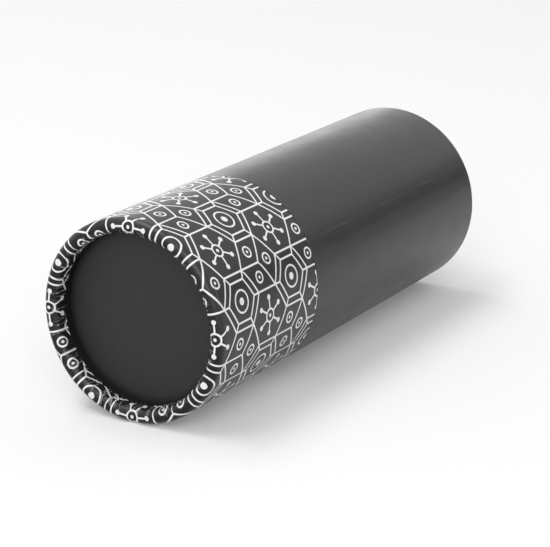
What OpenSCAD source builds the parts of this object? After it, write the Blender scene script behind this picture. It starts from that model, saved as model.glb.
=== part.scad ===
// Round gift tube with a pull-off lid, lying on its side.
// The tube's axis runs along X. The lid's rim is at -X, the base's rim at +X,
// and the origin is on the floor under the middle of the closed box.

/* [Outside] */
// Outside diameter over the covering paper
outer_d = 75; // [60:1:110]
// Length of the closed box
box_l = 200; // [150:1:320]
// Length of the lid
lid_l = 66.5; // [50:0.5:100]
// Gap left between the lid's edge and the body's edge
edge_gap = 0.3; // [0.2:0.1:1]

/* [Rolled rims] */
// Thickness of the rolled rim at both ends of the box, paper included
roll_d = 5.4; // [5:0.1:8]
// How far the crown of each roll is pressed flat
rim_press = 0.06; // [0.02:0.01:0.1]
// Depth from the rim to the disc that closes an end
recess_d = 9.5; // [8:0.1:14]
// How far down inside the rim the covering paper is turned
turn_in = 5.8; // [4.5:0.1:7]

/* [Boards] */
// Board thickness of the body tube
wall_t = 1.6; // [1.2:0.1:1.8]
// Board thickness of the neck tube
neck_t = 1.2; // [0.8:0.1:2]
// Board thickness of the lid's and the base's discs
disc_t = 2; // [1:0.1:3]

/* [Papers] */
// Thickness of the paper on the outside and on the neck
paper_t = 0.2; // [0.15:0.05:0.4]
// Thickness of the lining papers
lining_t = 0.15; // [0.1:0.05:0.3]
// Width of the lap where a covering sheet closes on itself
lap_w = 9; // [5:1:15]
// Angle of the lap's free edge, from +Y towards +Z
lap_angle = 151.5; // [100:0.5:170]

/* [Fits] */
// Length of neck that stands out of the body into the lid
neck_stand = 24; // [12:1:35]
// Clearance all round between the neck and the lid's lining
lid_fit = 0.2; // [0.1:0.05:0.4]
// Thickness of a film of glue
glue_t = 0.05; // [0.02:0.01:0.1]

/* [Hidden] */
$fn = 128;

// Colours of the board and of the papers
board_colour = "tan";
cover_colour = "#3a3b3d";
print_colour = "#55575a";
lining_colour = "#26272a";

// Radii, from the outside of the box in
outer_r = outer_d / 2;
board_r = outer_r - paper_t - glue_t;
neck_r = board_r - wall_t - glue_t;
neck_board_r = neck_r - paper_t - glue_t;
neck_bore_r = neck_board_r - neck_t;
clear_r = neck_bore_r - glue_t - lining_t;
lid_clear_r = neck_r + lid_fit;
lid_bore_r = lid_clear_r + lining_t + glue_t;
lid_wall_t = board_r - lid_bore_r;
recess_r = outer_r - roll_d;

// Places along the axis, from the rim of the end that a piece belongs to
roll_r = roll_d / 2;
roll_z = roll_r - rim_press;
leg_end_z = recess_d + paper_t;
disc_z = leg_end_z + glue_t;
disc_back_z = disc_z + disc_t;
lining_z = disc_back_z + glue_t;
body_l = box_l - lid_l - edge_gap;
neck_end_z = body_l + neck_stand;

// The lap is a second layer of paper, and its width is measured round the tube
lap_sweep = lap_w / outer_r * 180 / PI;

// Puts a shape drawn round Z, with a rim at its foot, at the lid's end of the box
module at_lid_end() {
    translate([-box_l / 2, 0, outer_r]) rotate([90, 0, 90]) children();
}

// The same at the base's end, whose rim faces the other way
module at_base_end() {
    mirror([1, 0, 0]) at_lid_end() children();
}

// Section of the roll: a half ring, between the wall and the leg that it turns inside the rim
module roll_section(inset, t) {
    translate([outer_r - roll_r, roll_z]) difference() {
        circle(r = roll_r - inset);
        circle(r = roll_r - inset - t);
        translate([-roll_r, 0]) square(2 * roll_r);
    }
}

// One layer of an outer tube, set in from the outside and l long, with its end rolled inward and
// carried straight back to leg_z. The crown of the roll is pressed flat at the rim's plane.
module rolled_layer(inset, t, l, leg_z) {
    rotate_extrude() intersection() {
        union() {
            roll_section(inset, t);
            translate([outer_r - inset - t, roll_z]) square([t, l - roll_z]);
            translate([recess_r + inset, roll_z]) square([t, leg_z - roll_z]);
        }
        square([outer_r, l]);
    }
}

// The free end of a covering sheet, glued down over its other end along the straight wall
module lap(l) {
    rotate([0, 0, lap_angle]) rotate_extrude(angle = lap_sweep)
        translate([outer_r - paper_t / 2, roll_z]) square([paper_t * 3 / 2, l - roll_z]);
}

// A plain tube, from one place along the axis to another
module straight_layer(r_in, r_out, z0, z1) {
    translate([0, 0, z0]) difference() {
        cylinder(r = r_out, h = z1 - z0);
        translate([0, 0, -1]) cylinder(r = r_in, h = z1 - z0 + 2);
    }
}

// A flat disc of board or paper
module plate(r, z, t) {
    translate([0, 0, z]) cylinder(r = r, h = t);
}

// The paper that faces an end disc, with its edge turned up the leg to meet the covering paper
module facing() {
    plate(recess_r + paper_t, recess_d, paper_t);
    straight_layer(recess_r, recess_r + paper_t, turn_in + glue_t, leg_end_z);
}

module body_tube() {
    color(board_colour) at_base_end() rolled_layer(paper_t + glue_t, wall_t, body_l, leg_end_z);
}

module body_wrap() {
    color(cover_colour) at_base_end() {
        rolled_layer(0, paper_t, body_l, turn_in);
        lap(body_l);
    }
}

module base_disc() {
    color(board_colour) at_base_end() plate(neck_r, disc_z, disc_t);
}

module base_facing() {
    color(cover_colour) at_base_end() facing();
}

module base_lining() {
    color(lining_colour) at_base_end() plate(clear_r - glue_t, lining_z, lining_t);
}

module neck_tube() {
    color(board_colour) at_base_end() straight_layer(neck_bore_r, neck_board_r, lining_z, neck_end_z);
}

module neck_wrap() {
    color(cover_colour) at_base_end() straight_layer(neck_r - paper_t, neck_r, lining_z, neck_end_z);
}

module neck_lining() {
    color(lining_colour) at_base_end() straight_layer(clear_r, clear_r + lining_t, lining_z, neck_end_z);
}

module lid_tube() {
    color(board_colour) at_lid_end() rolled_layer(paper_t + glue_t, lid_wall_t, lid_l, leg_end_z);
}

module lid_wrap() {
    color(print_colour) at_lid_end() {
        rolled_layer(0, paper_t, lid_l, turn_in);
        lap(lid_l);
    }
}

module lid_disc() {
    color(board_colour) at_lid_end() plate(lid_bore_r - glue_t, disc_z, disc_t);
}

module lid_facing() {
    color(cover_colour) at_lid_end() facing();
}

module lid_disc_lining() {
    color(lining_colour) at_lid_end() plate(lid_clear_r - glue_t, lining_z, lining_t);
}

module lid_lining() {
    color(lining_colour) at_lid_end() straight_layer(lid_clear_r, lid_clear_r + lining_t, lining_z, lid_l);
}

body_tube();
body_wrap();
base_disc();
base_facing();
base_lining();
neck_tube();
neck_wrap();
neck_lining();
lid_tube();
lid_wrap();
lid_disc();
lid_facing();
lid_disc_lining();
lid_lining();
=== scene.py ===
import math

import bmesh
import bpy
import numpy as np
from mathutils import Matrix, Vector


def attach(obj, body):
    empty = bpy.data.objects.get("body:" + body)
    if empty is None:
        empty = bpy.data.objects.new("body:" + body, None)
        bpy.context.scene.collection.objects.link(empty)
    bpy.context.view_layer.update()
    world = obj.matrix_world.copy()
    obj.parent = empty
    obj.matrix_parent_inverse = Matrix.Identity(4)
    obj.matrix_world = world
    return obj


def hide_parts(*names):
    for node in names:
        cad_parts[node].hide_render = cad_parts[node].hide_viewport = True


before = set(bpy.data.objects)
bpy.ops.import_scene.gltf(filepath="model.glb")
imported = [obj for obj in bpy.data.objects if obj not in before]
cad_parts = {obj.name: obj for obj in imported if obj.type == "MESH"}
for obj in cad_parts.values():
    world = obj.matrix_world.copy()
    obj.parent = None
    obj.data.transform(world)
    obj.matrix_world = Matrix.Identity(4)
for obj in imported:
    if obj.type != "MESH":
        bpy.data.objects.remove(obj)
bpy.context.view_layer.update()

# Sizes of the box, in metres, as the construction has them
OUTER_R = 0.0375
BOX_L = 0.200
LID_L = 0.0665
EDGE_GAP = 0.0003
ROLL_R = 0.0027
RIM_PRESS = 0.00006
RECESS_D = 0.0095
TURN_IN = 0.0058
PAPER_T = 0.0002
LINING_T = 0.00015
GLUE_T = 0.00005
WALL_T = 0.0016
NECK_T = 0.0012
DISC_T = 0.002
NECK_STAND = 0.024
LID_FIT = 0.0002
LAP_W = 0.009
LAP_ANGLE = math.radians(151.5)

# Radii from the outside in, and places along the axis from an end's rim
ROLL_Z = ROLL_R - RIM_PRESS
BOARD_R = OUTER_R - PAPER_T - GLUE_T
NECK_R = BOARD_R - WALL_T - GLUE_T
NECK_BOARD_R = NECK_R - PAPER_T - GLUE_T
NECK_BORE_R = NECK_BOARD_R - NECK_T
CLEAR_R = NECK_BORE_R - GLUE_T - LINING_T
LID_CLEAR_R = NECK_R + LID_FIT
LID_BORE_R = LID_CLEAR_R + LINING_T + GLUE_T
LID_WALL_T = BOARD_R - LID_BORE_R
RECESS_R = OUTER_R - 2 * ROLL_R
LEG_END_Z = RECESS_D + PAPER_T
DISC_Z = LEG_END_Z + GLUE_T
LINING_Z = DISC_Z + DISC_T + GLUE_T
BODY_L = BOX_L - LID_L - EDGE_GAP
NECK_END_Z = BODY_L + NECK_STAND

# A point on the tube's axis, and the end of the box, along X, that each body's rim is at
AXIS = (0.0, 0.0, OUTER_R)
END = {"lid": -1, "body": 1}

# How finely pieces are cut: round the tube, round the roll and down its leg
SHEET_STEPS = 1440
PLAIN_STEPS = 240
LAP_STEPS = 36
SHEET_ROLL_STEPS = 24
BOARD_ROLL_STEPS = 12
SHEET_LEG_STEPS = 4

# How far the cut ends of a board tube and of a paper tube are rounded
BOARD_SOFTEN = 0.0001
PAPER_SOFTEN = 0.00003

# Names of a covering sheet's UV map, and of the layer that says how sharply it is folded
SHEET_MAP = "sheet"
FOLD_LAYER = "fold"


# Camera, from a fit of the tube's outline in the photograph
def place_camera():
    eye = Vector((-0.66733, -0.39261, 0.27198))
    heading = math.radians(30.489)
    pitch = math.radians(-17.450)
    focal_px = 2088.9
    frame_w_px = 550
    data = bpy.data.cameras.new("camera")
    data.sensor_width = 36.0
    data.lens = focal_px * data.sensor_width / frame_w_px
    camera = bpy.data.objects.new("camera", data)
    bpy.context.collection.objects.link(camera)
    camera.location = eye
    level = Vector((math.cos(heading), math.sin(heading), 0.0))
    look = level * math.cos(pitch) + Vector((0.0, 0.0, math.sin(pitch)))
    camera.rotation_euler = look.to_track_quat("-Z", "Y").to_euler()
    bpy.context.scene.camera = camera


# One value or colour in a node tree. Arithmetic on values adds Math nodes.
class Sock:
    def __init__(self, tree, socket):
        self.tree = tree
        self.socket = socket

    def math(self, operation, *others):
        return self.tree.add("ShaderNodeMath", {"operation": operation}, [self, *others])

    def __add__(self, other):
        return self.math("ADD", other)

    def __sub__(self, other):
        return self.math("SUBTRACT", other)

    def __rsub__(self, other):
        return self.tree.add("ShaderNodeMath", {"operation": "SUBTRACT"}, [other, self])

    def __mul__(self, other):
        return self.math("MULTIPLY", other)

    def __truediv__(self, other):
        return self.math("DIVIDE", other)

    def __lt__(self, other):
        return self.math("LESS_THAN", other)

    def __gt__(self, other):
        return self.math("GREATER_THAN", other)

    def __abs__(self):
        return self.math("ABSOLUTE")

    def floor(self):
        return self.math("FLOOR")

    def root(self):
        return self.math("SQRT")

    def max(self, other):
        return self.math("MAXIMUM", other)

    def min(self, other):
        return self.math("MINIMUM", other)

    def ramp(self, low, high, out_low=0.0, out_high=1.0):
        """Goes smoothly from out_low at low to out_high at high."""
        settings = {"interpolation_type": "SMOOTHSTEP", "clamp": True}
        return self.tree.add("ShaderNodeMapRange", settings, [self, low, high, out_low, out_high])


# The nodes of one material or world. add_node() is the one place that makes a node.
class Tree:
    def __init__(self, owner):
        owner.use_nodes = True
        self.owner = owner
        self.nodes = owner.node_tree.nodes
        self.links = owner.node_tree.links
        self.nodes.clear()

    def add_node(self, kind, settings=None, values=()):
        node = self.nodes.new(kind)
        for key, value in (settings or {}).items():
            setattr(node, key, value)
        pairs = values.items() if isinstance(values, dict) else enumerate(values)
        for key, value in pairs:
            if isinstance(value, Sock):
                self.links.new(value.socket, node.inputs[key])
            else:
                node.inputs[key].default_value = value
        return node

    def add(self, kind, settings=None, values=(), output=0):
        """Adds a node and gives one of its outputs."""
        return Sock(self, self.add_node(kind, settings, values).outputs[output])

    def mix(self, factor, a, b):
        """A colour between a, at factor 0, and b, at factor 1."""
        return self.add("ShaderNodeMix", {"data_type": "RGBA"}, {0: factor, 6: a, 7: b}, output=2)

    def split(self, vector):
        node = self.add_node("ShaderNodeSeparateXYZ", None, [vector])
        return [Sock(self, out) for out in node.outputs]

    def join(self, x, y, z):
        return self.add("ShaderNodeCombineXYZ", None, [x, y, z])

    def noise(self, vector, scale, detail, roughness):
        values = {"Vector": vector, "Scale": scale, "Detail": detail, "Roughness": roughness}
        return self.add("ShaderNodeTexNoise", {"noise_dimensions": "3D"}, values)

    def streaks(self, along, per_metre):
        """Noise that changes along one measure only."""
        place = self.join(along * per_metre, 0.0, 0.0)
        return self.noise(place, scale=1.0, detail=3.0, roughness=0.6)

    def here(self):
        return self.add("ShaderNodeTexCoord", output="Object")

    def sheet(self):
        """Metres round the tube, and metres along the flat sheet from its open edge."""
        return self.split(self.add("ShaderNodeUVMap", {"uv_map": SHEET_MAP}))[:2]

    def bump(self, height, distance, strength=1.0, over=None):
        """Relief of a height from 0 to 1. It may lie over a broader relief."""
        values = {"Height": height, "Distance": distance, "Strength": strength}
        if over is not None:
            values["Normal"] = over
        return self.add("ShaderNodeBump", None, values)

    def finish(self, **values):
        """Adds the shader and the output. Names are the shader's own, with _ for a space."""
        inputs = {key.replace("_", " "): value for key, value in values.items()}
        shader = self.add("ShaderNodeBsdfPrincipled", None, inputs)
        self.add_node("ShaderNodeOutputMaterial", None, {"Surface": shader})
        return self.owner


def material_tree(name):
    return Tree(bpy.data.materials.new(name))


def grey(level):
    return (level, level, level, 1.0)


# The pale fibre inside a covering sheet, also used as a painted highlight on creases, and the
# painted shade in the corner inside a rim
SHEET_CORE_AND_GLINT = grey(0.42)
CORNER_SHADE_TONE = grey(0.004)


def square_sum(a, b):
    return a * a + b * b


def axis_distance(tree):
    _, y, z = tree.split(tree.here())
    return square_sum(y, z - OUTER_R).root()


# A height from 0 to 1, as the fibres and the matt film of covering paper give
def paper_grain(tree):
    here = tree.here()
    fine = tree.noise(here, scale=2600.0, detail=3.0, roughness=0.6)
    broad = tree.noise(here, scale=90.0, detail=3.0, roughness=0.5)
    return fine * 0.35 + broad * 0.65


# Long soft waves that the wound board below leaves in the paper glued over it
def board_waves(tree):
    along = 9.0
    across = 55.0
    x, y, z = tree.split(tree.here())
    stretched = tree.join(x * along, y * across, z * across)
    return tree.noise(stretched, scale=1.0, detail=2.0, roughness=0.4)


# Covering paper: where a crease is sharpest, its film is cracked and the pale core shows, and the
# same pale marks are also a painted highlight for the glints on the creases
def paper_finish(tree, grain, tone):
    fold = tree.add("ShaderNodeAttribute", {"attribute_name": FOLD_LAYER}, output="Fac")
    patches = tree.noise(tree.here(), scale=700.0, detail=3.0, roughness=0.6)
    # Pale marks on the sharpest creases: partly cracked film, partly a painted highlight
    cracks_and_glints = fold.ramp(0.24, 0.66) * patches.ramp(0.38, 0.56)
    waves = tree.bump(board_waves(tree), distance=0.0004, strength=0.35)
    return tree.finish(Base_Color=tree.mix(cracks_and_glints * 0.9, tone, SHEET_CORE_AND_GLINT),
                       Roughness=grain.ramp(0.3, 0.7, 0.33, 0.39), IOR=1.5,
                       Normal=tree.bump(grain, distance=0.00004, strength=0.5, over=waves))


# A painted highlight along the free edge of the sheet's lap, pale in places in a line half a
# millimetre wide, where the edge catches light
def lap_edge_highlight(tree):
    u, v = tree.sheet()
    past = u - LAP_ANGLE * OUTER_R
    line = past.ramp(0.00025, 0.00055, 1.0, 0.0) * (past > -0.0001)
    return line * tree.streaks(v, per_metre=60.0).ramp(0.36, 0.60)


def cover_paper():
    tree = material_tree("dark_cover_paper")
    grain = paper_grain(tree)
    tone = tree.mix(grain, (0.0100, 0.0104, 0.0108, 1.0), (0.0165, 0.0170, 0.0176, 1.0))
    # The pale line along the lap's edge is a painted highlight
    tone = tree.mix(lap_edge_highlight(tree) * 0.6, tone, grey(0.065))
    return paper_finish(tree, grain, tone)


# The paper that faces the end discs is duller, with a soft tooth. Painted shade darkens it towards
# the corner where it bends up inside the rim, where the rim shades it.
def facing_paper(name, low, high):
    tree = material_tree(name)
    here = tree.here()
    tooth = tree.noise(here, scale=1500.0, detail=4.0, roughness=0.65)
    cloud = tree.noise(here, scale=55.0, detail=2.0, roughness=0.5)
    shade_w = 0.0030
    # Mask of the painted shade in the corner that the rim shades
    corner = axis_distance(tree).ramp(RECESS_R - shade_w, RECESS_R)
    tone = tree.mix(tooth * 0.5 + cloud * 0.5, grey(low), grey(high))
    soft = tree.bump(cloud, distance=0.0003, strength=0.3)
    return tree.finish(Base_Color=tree.mix(corner * 0.75, tone, CORNER_SHADE_TONE),
                       Roughness=tooth.ramp(0.3, 0.7, 0.46, 0.54), IOR=1.5,
                       Normal=tree.bump(tooth, distance=0.00005, strength=0.6, over=soft))


# The cut edge of a covering sheet, where only its pale core shows
def paper_edge():
    tree = material_tree("cut_paper_edge")
    grain = tree.noise(tree.here(), scale=3000.0, detail=3.0, roughness=0.7)
    tone = tree.mix(grain, (0.13, 0.13, 0.135, 1.0), (0.22, 0.22, 0.225, 1.0))
    return tree.finish(Base_Color=tone, Roughness=0.8, Normal=tree.bump(grain, distance=0.00004))


# Board: grey-brown fibre with darker flecks, and the wound plies as fine rings on cut edges
def greyboard():
    tree = material_tree("wound_greyboard")
    here = tree.here()
    ply_t = 0.0004
    ply = (axis_distance(tree) / ply_t * 2 * math.pi).math("SINE").ramp(-0.9, -0.5)
    fibre = tree.noise(here, scale=900.0, detail=4.0, roughness=0.7)
    fleck = tree.noise(here, scale=2400.0, detail=2.0, roughness=0.6).ramp(0.62, 0.72)
    tone = tree.mix(fibre.ramp(0.3, 0.7), (0.24, 0.205, 0.165, 1.0), (0.36, 0.315, 0.26, 1.0))
    tone = tree.mix(fleck * 0.5, tone, (0.10, 0.085, 0.07, 1.0))
    tone = tree.mix(0.35 - ply * 0.35, tone, (0.12, 0.10, 0.08, 1.0))
    relief = tree.bump(fibre * 0.6 + ply * 0.4, distance=0.00008)
    return tree.finish(Base_Color=tone, Roughness=0.88, Normal=relief)


# The paper inside the neck and the lid is matt and uncoated
def lining_paper():
    tree = material_tree("dark_lining_paper")
    here = tree.here()
    fine = tree.noise(here, scale=1800.0, detail=3.0, roughness=0.65)
    broad = tree.noise(here, scale=60.0, detail=2.0, roughness=0.5)
    grain = fine * 0.6 + broad * 0.4
    tone = tree.mix(grain, (0.014, 0.014, 0.015, 1.0), (0.026, 0.026, 0.028, 1.0))
    relief = tree.bump(fine, distance=0.00005, strength=0.6)
    return tree.finish(Base_Color=tone, Roughness=0.68, Normal=relief)


# The lid's print: a lattice of hexagons in fine white lines. Three kinds of hexagon take turns:
# a star of six dotted rays, nested hexagons round a ring, and a cube with a ring on each face.
PRINT_COLUMNS = 12
PRINT_LINE = 0.00072
PRINT_SOFT = 0.00005


def print_lines(tree):
    """1 on the lines and 0 off them. Lengths in it are shares of a hexagon's width."""
    cell = 2 * math.pi * OUTER_R / PRINT_COLUMNS
    root3 = math.sqrt(3)
    half = PRINT_LINE / 2 / cell
    soft = PRINT_SOFT / cell
    u, v = tree.sheet()
    x = u / cell
    y = v / cell

    def line(distance, width=half):
        return distance.ramp(width - soft, width + soft, 1.0, 0.0)

    # The nearer of the centres of two interleaved grids is the middle of the hexagon
    ax = x.floor() + 0.5
    ay = (y / root3).floor() * root3 + root3 / 2
    bx = (x + 0.5).floor()
    by = (y / root3 + 0.5).floor() * root3
    use_a = square_sum(x - ax, y - ay) < square_sum(x - bx, y - by)
    cx = bx + (ax - bx) * use_a
    cy = by + (ay - by) * use_a
    dx = x - cx
    dy = y - cy

    # Which of the three kinds it is. The offset keeps the sum above 0 and off whole numbers.
    row = cy / (root3 / 2)
    offset = 3000.25
    kind = (cx - row * 1.5 + offset).math("MODULO", 3.0).floor()

    # Distances within one hexagon, whose flat sides are 0.5 from its middle
    fx = abs(dx)
    fy = abs(dy)
    hexagon = fx.max(fx * 0.5 + fy * (root3 / 2))
    radial = square_sum(dx, dy).root()
    to_sides = fy.min(abs(fx * (root3 / 2) - fy * 0.5))
    to_corners = fx.min(abs(fx * 0.5 - fy * (root3 / 2)))
    sides = line(0.5 - hexagon)

    # A star of six rays, each ending in a dot, round a small ring with a dot
    ray = 0.34
    hub = 0.12
    tip_a = square_sum(fx - ray, fy).root()
    tip_b = square_sum(fx - ray * 0.5, fy - ray * root3 / 2).root()
    rays = line(to_sides) * (radial < ray) * (radial > hub)
    tips = line(tip_a.min(tip_b), width=0.05)
    star = rays.max(tips).max(line(abs(radial - hub))).max(line(radial, width=0.035))

    # A hexagon joined to the corners of the outer one, round a ring with a dot
    inner_side = 0.36
    ring_r = 0.20
    spokes = line(to_corners) * (hexagon > inner_side)
    nest = line(abs(hexagon - inner_side)).max(spokes)
    nest = nest.max(line(abs(radial - ring_r))).max(line(radial, width=0.07))

    # A cube: three edges from the middle to alternate corners, and a ring on each face
    def edge(angle):
        c = math.cos(angle)
        s = math.sin(angle)
        return line(abs(dx * s - dy * c)) * ((dx * c + dy * s) > 0.0)

    def ring(angle, reach=0.29, size=0.10):
        across = dx - reach * math.cos(angle)
        up = dy - reach * math.sin(angle)
        away = square_sum(across, up).root()
        return line(abs(away - size)).max(line(away, width=0.03))

    turns = [math.radians(90 + 120 * k) for k in range(3)]
    cube = edge(turns[0]).max(edge(turns[1])).max(edge(turns[2]))
    for turn in turns:
        cube = cube.max(ring(turn + math.pi))

    inner = star * (kind < 0.5) + nest * (abs(kind - 1.0) < 0.5) + cube * (kind > 1.5)
    return sides.max(inner)


# A painted highlight: a thin pale line at the open edge, broken in places, where the rounded edge
# catches light
def edge_highlight(tree):
    u, v = tree.sheet()
    in_places = tree.streaks(u, per_metre=60.0).ramp(0.50, 0.66)
    return v.ramp(0.00010, 0.00020, 1.0, 0.0) * in_places


# The lid's paper: white lines on a ground a little darker than the body's paper
def printed_paper():
    tree = material_tree("line_printed_paper")
    grain = paper_grain(tree)
    ground = tree.mix(grain, (0.0065, 0.0068, 0.0072, 1.0), (0.0110, 0.0114, 0.0120, 1.0))
    white = tree.mix(grain, grey(0.84), grey(0.92))
    tone = tree.mix(print_lines(tree), ground, white)
    # The pale line at the open edge is a painted highlight
    tone = tree.mix(edge_highlight(tree) * 0.5, tone, grey(0.45))
    return paper_finish(tree, grain, tone)


# A piece from a bmesh: its normals point out, and edges sharper than 40 degrees stay sharp
def make_piece(name, bm, materials):
    same_point = 1e-6
    sharp = math.radians(40)
    bmesh.ops.remove_doubles(bm, verts=bm.verts, dist=same_point)
    bmesh.ops.recalc_face_normals(bm, faces=bm.faces)
    for face in bm.faces:
        face.smooth = True
    for edge in bm.edges:
        edge.smooth = len(edge.link_faces) == 2 and edge.calc_face_angle(0.0) < sharp
    mesh = bpy.data.meshes.new(name)
    bm.to_mesh(mesh)
    bm.free()
    for material in materials:
        mesh.materials.append(material)
    piece = bpy.data.objects.new(name, mesh)
    bpy.context.collection.objects.link(piece)
    return piece


# Turns an outline of (place along the axis from the rim, radius) round the tube's axis.
# end is -1 for the lid's end of the box and 1 for the base's. Angles are from +Y towards +Z.
# The outline is closed, unless it starts and ends on the axis.
def turned(outline, end, steps):
    """A whole turn, made as one wedge that is spun and then repeated."""
    wedges = 24
    wedge = 2 * math.pi / wedges
    bm = turned_part(outline, end, steps // wedges, 0.0, wedge)
    first = list(bm.verts) + list(bm.edges) + list(bm.faces)
    for k in range(1, wedges):
        copy = bmesh.ops.duplicate(bm, geom=first)["geom"]
        moved = [part for part in copy if isinstance(part, bmesh.types.BMVert)]
        turn = Matrix.Rotation(k * wedge, 3, "X")
        bmesh.ops.rotate(bm, verts=moved, cent=AXIS, matrix=turn)
    return bm


def turned_part(outline, end, steps, start, sweep):
    bm = bmesh.new()
    verts = []
    for z, r in outline:
        place = (end * (BOX_L / 2 - z), r * math.cos(start), OUTER_R + r * math.sin(start))
        verts.append(bm.verts.new(place))
    edges = [bm.edges.new(pair) for pair in zip(verts, verts[1:])]
    if outline[0][1] > 0:
        edges.append(bm.edges.new((verts[-1], verts[0])))
    bmesh.ops.spin(bm, geom=verts + edges, cent=AXIS, axis=(1, 0, 0), angle=sweep, steps=steps)
    return bm


def arc(centre_z, centre_r, radius, start, end, steps):
    """Points round the roll. Angle 0 points away from the axis, and 90 degrees out of the rim."""
    points = []
    for i in range(steps + 1):
        a = start + (end - start) * i / steps
        points.append((centre_z - radius * math.sin(a), centre_r + radius * math.cos(a)))
    return points


def rolled_outline(inset, thick, length, leg_end, steps, leg_steps=1):
    """The closed section of one layer of an outer tube: its wall, the roll and its leg."""
    centre_r = OUTER_R - ROLL_R
    outer = ROLL_R - inset
    inner = outer - thick
    leg = [ROLL_Z + (leg_end - ROLL_Z) * i / leg_steps for i in range(1, leg_steps + 1)]
    points = [(length, OUTER_R - inset)]
    points += arc(ROLL_Z, centre_r, outer, 0.0, math.pi, steps)
    points += [(z, centre_r - outer) for z in leg]
    points += [(z, centre_r - inner) for z in reversed(leg)]
    points += arc(ROLL_Z, centre_r, inner, math.pi, 0.0, steps)
    points += [(length, OUTER_R - inset - thick)]
    return [(max(z, 0.0), r) for z, r in points]


def ring_outline(r_in, r_out, z0, z1, soften):
    """A plain tube's section, with its corners taken off by soften."""
    s = soften
    return [(z0 + s, r_out), (z1 - s, r_out), (z1, r_out - s), (z1, r_in + s),
            (z1 - s, r_in), (z0 + s, r_in), (z0, r_in + s), (z0, r_out - s)]


def smooth(share):
    """Eases a share that goes from 0 to 1, at both ends."""
    return share * share * (3 - 2 * share)


def read_points(mesh):
    co = np.empty(len(mesh.vertices) * 3, dtype=np.float32)
    mesh.vertices.foreach_get("co", co)
    return co.reshape(-1, 3).astype(float)


# Where each point of a mesh lies: along the axis from its rim, out from the axis, round it, and
# how far it has come round the roll, from 0 on the straight wall to half a turn on the leg.
def tube_places(co, end):
    z = BOX_L / 2 - end * co[:, 0]
    r = np.hypot(co[:, 1], co[:, 2] - OUTER_R)
    theta = np.arctan2(co[:, 2] - OUTER_R, co[:, 1])
    centre_r = OUTER_R - ROLL_R
    roll = np.arctan2(ROLL_Z - z, r - centre_r)
    roll = np.where(z > ROLL_Z, np.where(r > centre_r, 0.0, np.pi), roll)
    return z, r, theta, roll


# Creases that form where a flat sheet is gathered into the smaller circle inside the roll
CREASES = 150
CREASE_H = 0.00030


def crease_set(seed, count):
    rng = np.random.default_rng(seed)
    spacing = rng.uniform(0.4, 1.6, count)
    return {
        "angle": np.cumsum(spacing) / spacing.sum() * 2 * np.pi - np.pi,
        "height": CREASE_H * rng.uniform(0.25, 1.0, count),
        "width": rng.uniform(0.00018, 0.00036, count),
        "slant": rng.uniform(-0.03, 0.03, count),
        "start": np.radians(rng.uniform(55, 125, count)),
    }


def crease_rise(creases, r, theta, roll):
    """How far the creases lift the paper, and how sharply it is folded there, 0 to 1."""
    grows_over = math.radians(45)
    fold_sharpness = 2.5
    rise = np.zeros(len(r))
    fold = np.zeros(len(r))
    for angle, height, width, slant, start in zip(*creases.values()):
        turn = theta - angle - slant * (roll - np.pi / 2)
        away = (np.mod(turn + np.pi, 2 * np.pi) - np.pi) * r / width
        reach = smooth(np.clip((roll - start) / grows_over, 0, 1))
        rise += height * np.exp(-away * away) * reach
        sharp = height / CREASE_H * np.exp(-fold_sharpness * away * away) * reach
        fold = np.maximum(fold, sharp)
    return rise, fold


# Only the sheet's outer face is lifted, from the crown of the roll to the end of its leg
def crease_paper(piece, end, creases):
    mesh = piece.data
    co = read_points(mesh)
    z, r, theta, roll = tube_places(co, end)
    rise, fold = crease_rise(creases, r, theta, roll)
    centre_r = OUTER_R - ROLL_R
    from_roll = np.where(z > ROLL_Z, centre_r - r, np.hypot(r - centre_r, z - ROLL_Z))
    rise = np.where(from_roll > ROLL_R - PAPER_T / 2, rise, 0.0)
    rise = np.where((z > ROLL_Z) & (r > centre_r), 0.0, rise)
    outward = np.cos(roll) * rise
    co[:, 0] += end * np.sin(roll) * rise
    co[:, 1] += np.cos(theta) * outward
    co[:, 2] += np.sin(theta) * outward
    mesh.vertices.foreach_set("co", co.astype(np.float32).ravel())
    mesh.update()
    layer = mesh.attributes.new(FOLD_LAYER, "FLOAT", "POINT")
    layer.data.foreach_set("value", np.where(rise > 0, fold, 0.0).astype(np.float32))


def strip_shift(creases, r, theta):
    """How far the print moves round the tube, so that a strip between creases isn't squeezed."""
    bounds = creases["angle"]
    k = np.searchsorted(bounds, theta) % len(bounds)
    left = bounds[k - 1]
    width = np.mod(bounds[k] - left, 2 * np.pi)
    off_middle = np.mod(theta - left, 2 * np.pi) - width / 2
    return -off_middle * (OUTER_R - r)


# UV map in metres on the flat sheet: round the tube, and from its open edge over the roll.
# Inside the roll each strip of paper between two creases keeps its own width, and the rest of
# the sheet is folded away in the creases, so the print jumps a little from strip to strip.
def lay_sheet_map(piece, end, length, creases=None):
    mesh = piece.data
    z, r, theta, roll = tube_places(read_points(mesh), end)
    corner = np.empty(len(mesh.loops), dtype=np.int32)
    mesh.loops.foreach_get("vertex_index", corner)
    start = np.empty(len(mesh.polygons), dtype=np.int32)
    total = np.empty(len(mesh.polygons), dtype=np.int32)
    mesh.polygons.foreach_get("loop_start", start)
    mesh.polygons.foreach_get("loop_total", total)

    # Angles run from minus half a turn to half a turn. A face that spans the jump runs on past it.
    turn = theta[corner]
    low = np.repeat(np.minimum.reduceat(turn, start), total)
    high = np.repeat(np.maximum.reduceat(turn, start), total)
    turn = np.where((high - low > np.pi) & (turn < 0), turn + 2 * np.pi, turn)
    u = turn * OUTER_R
    if creases is not None:
        u = u + strip_shift(creases, r[corner], theta[corner])

    straight = np.where(roll < np.pi, length - np.maximum(z, ROLL_Z), length - ROLL_Z)
    along = straight + roll * ROLL_R + np.where(roll >= np.pi, z - ROLL_Z, 0.0)
    layer = mesh.uv_layers.new(name=SHEET_MAP)
    uv = np.column_stack([u, along[corner]]).astype(np.float32)
    layer.data.foreach_set("uv", uv.ravel())


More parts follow.
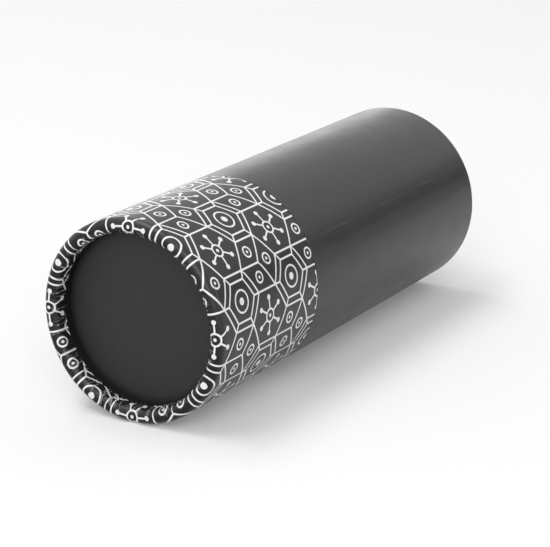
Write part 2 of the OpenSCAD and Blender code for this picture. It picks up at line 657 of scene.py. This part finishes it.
# A covering sheet: one layer from the open edge over the roll and down the leg inside it
def covering_piece(name, end, length, material, creases):
    outline = rolled_outline(0.0, PAPER_T, length, TURN_IN, SHEET_ROLL_STEPS, SHEET_LEG_STEPS)
    piece = make_piece(name, turned(outline, end, SHEET_STEPS), [material])
    lay_sheet_map(piece, end, length, creases)
    crease_paper(piece, end, creases)
    return piece


# The free end of a covering sheet, glued down over its other end along the straight wall.
# Its cut edge is the upper one. Lower down it sinks to where the sheet goes on round the tube.
def lap_piece(name, end, length, material, edge_material):
    sweep = LAP_W / OUTER_R
    low = OUTER_R - PAPER_T / 2
    high = OUTER_R + PAPER_T
    outline = [(length, high), (ROLL_Z, high), (ROLL_Z, low), (length, low)]
    bm = turned_part(outline, end, LAP_STEPS, LAP_ANGLE, sweep)
    open_edges = [edge for edge in bm.edges if edge.is_boundary]
    bmesh.ops.holes_fill(bm, edges=open_edges, sides=0)
    bmesh.ops.recalc_face_normals(bm, faces=bm.faces)
    for face in bm.faces:
        middle = face.calc_center_median()
        outward = Vector((0.0, middle.y, middle.z - OUTER_R)).normalized()
        face.material_index = int(abs(face.normal.dot(outward)) < 0.5)

    sinking_share = 0.6
    deepest = PAPER_T * 0.97
    for vert in bm.verts:
        out = Vector((0.0, vert.co.y, vert.co.z - OUTER_R))
        if out.length > OUTER_R:
            from_lower_end = (LAP_ANGLE + sweep - math.atan2(out.z, out.y)) / sweep
            sunk = smooth(max(0.0, 1.0 - from_lower_end / sinking_share))
            vert.co -= out.normalized() * deepest * sunk
    piece = make_piece(name, bm, [material, edge_material])
    lay_sheet_map(piece, end, length)
    return piece


def plain_piece(name, outline, end, materials):
    return make_piece(name, turned(outline, end, PLAIN_STEPS), materials)


# The paper on an end disc, bent up the leg inside the roll to the cut edge of the covering sheet
def facing_piece(name, end, materials):
    outer = RECESS_R + PAPER_T
    edge_z = TURN_IN + GLUE_T
    back = [(LEG_END_Z, 0.0), (LEG_END_Z, outer)]
    leg = [(edge_z, outer), (edge_z, RECESS_R)]
    front = [(RECESS_D, RECESS_R), (RECESS_D, 0.0)]
    piece = plain_piece(name, back + leg + front, end, materials)
    # The bent-up faces take the second material, which is painted shade inside the rim
    for face in piece.data.polygons:
        face.material_index = int(abs(face.normal.x) < 0.5)
    return piece


# Puts a piece on its body. It stands for a node, unless it is an addition such as a lap.
def place(piece, body, slot, node=None):
    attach(piece, body)
    if node:
        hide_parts(node)


def build_sheets(printed, cover, cut):
    sheets = [
        ("lid", LID_L, printed, "printed_paper", 11),
        ("body", BODY_L, cover, "cover_paper", 23),
    ]
    for body, length, paper, slot, seed in sheets:
        end = END[body]
        creases = crease_set(seed, CREASES)
        sheet = covering_piece(body + "_paper", end, length, paper, creases)
        place(sheet, body, slot, body + "_wrap")
        lap = lap_piece(body + "_paper_lap", end, length, paper, cut)
        place(lap, body, slot)


def build_rolled_tubes(board):
    for body, wall, length in (("lid", LID_WALL_T, LID_L), ("body", WALL_T, BODY_L)):
        inset = PAPER_T + GLUE_T
        outline = rolled_outline(inset, wall, length, LEG_END_Z, BOARD_ROLL_STEPS)
        piece = plain_piece(body + "_tube_board", outline, END[body], [board])
        place(piece, body, "greyboard", body + "_tube")


def build_facings():
    flat = facing_paper("dull_facing_paper", 0.0205, 0.0300)
    # The turned-up paper inside the rim is the same facing paper painted much darker, as painted
    # shade
    turned_up = facing_paper("turned_up_facing_paper_painted_shade", 0.0028, 0.0046)
    for node, body in (("lid_facing", "lid"), ("base_facing", "body")):
        piece = facing_piece(node + "_paper", END[body], [flat, turned_up])
        place(piece, body, "cover_paper", node)


def straight_piece(name, body, radii, z_end, soften, material, slot, node):
    outline = ring_outline(*radii, LINING_Z, z_end, soften)
    piece = plain_piece(name, outline, END[body], [material])
    place(piece, body, slot, node)


def build_straight_tubes(board, cover, lining):
    straight_piece("neck_board", "body", (NECK_BORE_R, NECK_BOARD_R), NECK_END_Z,
                   BOARD_SOFTEN, board, "greyboard", "neck_tube")
    straight_piece("neck_paper", "body", (NECK_R - PAPER_T, NECK_R), NECK_END_Z,
                   PAPER_SOFTEN, cover, "cover_paper", "neck_wrap")
    straight_piece("neck_inside_paper", "body", (CLEAR_R, CLEAR_R + LINING_T), NECK_END_Z,
                   PAPER_SOFTEN, lining, "lining_paper", "neck_lining")
    straight_piece("lid_inside_paper", "lid", (LID_CLEAR_R, LID_CLEAR_R + LINING_T), LID_L,
                   PAPER_SOFTEN, lining, "lining_paper", "lid_lining")


def set_node_material(name, material):
    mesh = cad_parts[name].data
    mesh.materials.clear()
    mesh.materials.append(material)


def build_box():
    cover = cover_paper()
    board = greyboard()
    lining = lining_paper()
    build_sheets(printed_paper(), cover, paper_edge())
    build_rolled_tubes(board)
    build_facings()
    build_straight_tubes(board, cover, lining)
    for name in ("base_disc", "lid_disc"):
        set_node_material(name, board)
    for name in ("base_lining", "lid_disc_lining"):
        set_node_material(name, lining)


def flat_stage(name, size, place, aim, material):
    """A square that isn't part of the object, turned to face aim."""
    bm = bmesh.new()
    bmesh.ops.create_grid(bm, x_segments=1, y_segments=1, size=size / 2)
    mesh = bpy.data.meshes.new(name)
    bm.to_mesh(mesh)
    bm.free()
    mesh.materials.append(material)
    stage = bpy.data.objects.new(name, mesh)
    bpy.context.collection.objects.link(stage)
    stage.location = place
    stage.rotation_euler = (Vector(aim) - Vector(place)).to_track_quat("Z", "Y").to_euler()
    return stage


# 1 where the camera or the box's sheen sees a thing, and 0 where the thing gives light
def seen(tree):
    by_camera = tree.add("ShaderNodeLightPath", output="Is Camera Ray")
    in_sheen = tree.add("ShaderNodeLightPath", output="Is Glossy Ray")
    return by_camera.max(in_sheen)


# A pale floor that renders near white to the camera and keeps the object's shadow
def floor_material():
    tree = material_tree("pale_floor")
    matt = tree.add("ShaderNodeBsdfDiffuse", None, {"Color": grey(0.87)})
    glow = {"Color": grey(1.0), "Strength": seen(tree) * 0.13}
    both = [matt, tree.add("ShaderNodeEmission", None, glow)]
    floor = tree.add("ShaderNodeAddShader", None, both)
    tree.add_node("ShaderNodeOutputMaterial", None, {"Surface": floor})
    return tree.owner


# A dark square that only shows in the box's sheen, as an unlit side of the room does
def dark_card(name, level, size, place, aim):
    material = material_tree(name).finish(Base_Color=grey(level), Roughness=0.9)
    card = flat_stage(name, size, place, aim, material)
    card.visible_camera = False
    card.visible_diffuse = False
    card.visible_shadow = False


# The side card darkens a band along the tube, and the front card darkens the lid's rim
def build_stage():
    flat_stage("floor", 8.0, (0, 0, 0), (0, 0, 1), floor_material())
    dark_card("side_card", 0.25, size=0.9, place=(1.25, -0.75, 0.0), aim=(0, 0, 0))
    dark_card("front_card", 0.38, size=0.5, place=(-0.35, 0.15, 0.0005), aim=(-0.35, 0.15, 1.0))


# A white room, brighter to the eye than the light that it gives
def build_room():
    seen_level = 0.97
    light_level = 0.50
    world = bpy.data.worlds.new("studio")
    tree = Tree(world)
    strength = seen(tree) * (seen_level - light_level) + light_level
    room = tree.add("ShaderNodeBackground", None, {"Color": grey(1.0), "Strength": strength})
    tree.add_node("ShaderNodeOutputWorld", None, {"Surface": room})
    bpy.context.scene.world = world


def panel(name, place, size_x, size_y, power):
    """A lamp of size_x by size_y, turned to face the middle of the box."""
    data = bpy.data.lights.new(name, "AREA")
    data.shape = "RECTANGLE"
    data.size = size_x
    data.size_y = size_y
    data.energy = power
    lamp = bpy.data.objects.new(name, data)
    bpy.context.collection.objects.link(lamp)
    lamp.location = place
    aim = Vector((0.0, 0.0, 0.03))
    lamp.rotation_euler = (aim - Vector(place)).to_track_quat("-Z", "Y").to_euler()
    return lamp


# The back lamp only shows in the sheen, along the top of the tube
def build_light():
    panel("key", (-0.5, 0.88, 2.82), size_x=2.8, size_y=0.9, power=38.0)
    panel("fill", (-2.3, -1.2, 1.6), size_x=1.8, size_y=1.8, power=30.5)
    back = panel("back", (3.8, 2.2, 0.41), size_x=3.2, size_y=1.0, power=18.0)
    back.visible_diffuse = False


bpy.context.scene.view_settings.view_transform = "Standard"
place_camera()
build_box()
build_stage()
build_room()
build_light()
